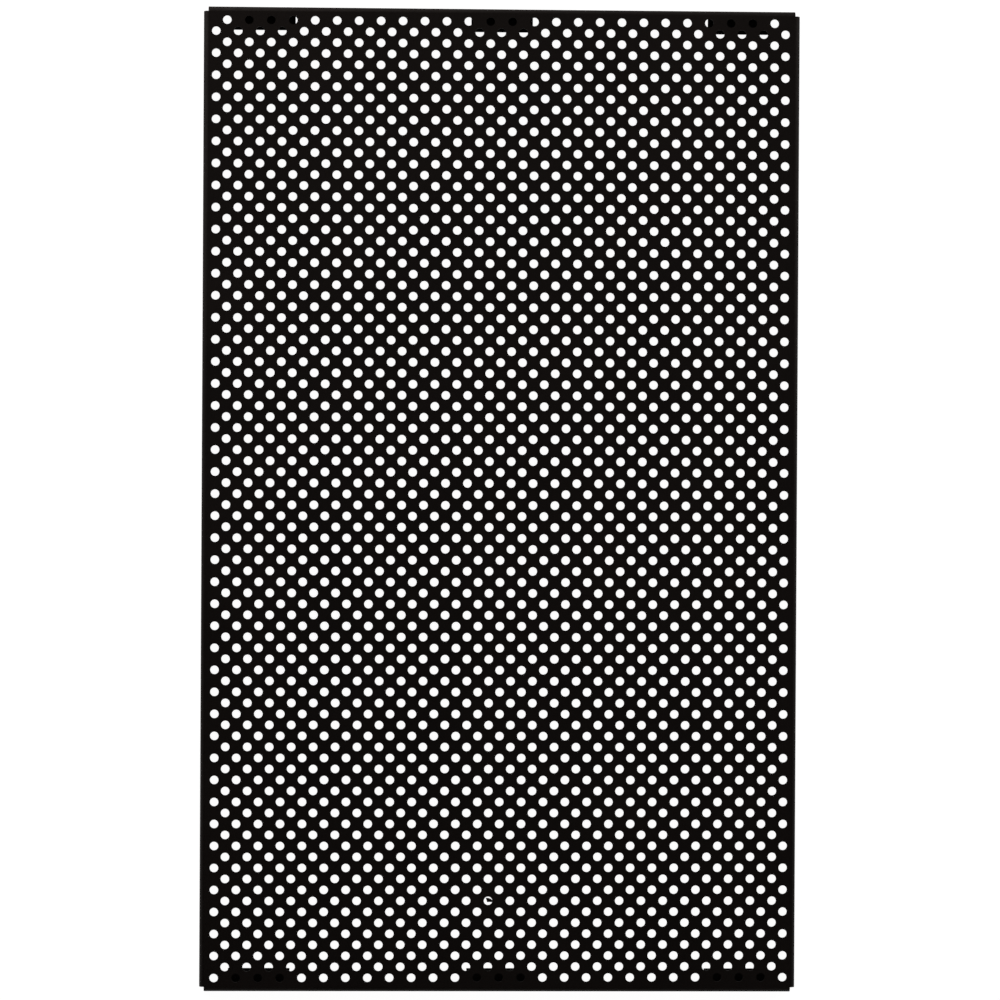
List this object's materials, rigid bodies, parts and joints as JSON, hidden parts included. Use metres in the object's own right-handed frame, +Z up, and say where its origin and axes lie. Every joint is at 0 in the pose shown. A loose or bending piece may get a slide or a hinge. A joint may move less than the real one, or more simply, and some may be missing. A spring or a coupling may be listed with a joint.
{
  "type": "queen excluder",
  "caption": "Flat punched steel tray with round bee holes, folded edges and welded foot cleats, laid between the brood box and the supers of a hive to hold the queen back.",
  "frame": {"origin": "middle of the outline, at the level of the flanges' lower edges, where the excluder rests", "axes": "+Z up through the punched sheet, +Y along the length towards the rear end, +X across the width to the right"},
  "size_m": [0.3072, 0.5062, 0.01],
  "materials": {
    "powder_coated_sheet": "matt black powder coat on punched mild steel sheet",
    "powder_coated_fold": "matt black powder coat on folded mild steel sheet",
    "powder_coated_cleat": "matt black powder coat on mild steel angle"
  },
  "bodies": {
    "root": {"perforated_sheet": "powder_coated_sheet", "left_side_flange": "powder_coated_fold", "right_side_flange": "powder_coated_fold", "rear_end_flange": "powder_coated_fold", "front_end_flange": "powder_coated_fold", "rear_left_foot_cleat": "powder_coated_cleat", "rear_middle_foot_cleat": "powder_coated_cleat", "rear_right_foot_cleat": "powder_coated_cleat", "front_left_foot_cleat": "powder_coated_cleat", "front_middle_foot_cleat": "powder_coated_cleat", "front_right_foot_cleat": "powder_coated_cleat"}
  },
  "joints": []
}
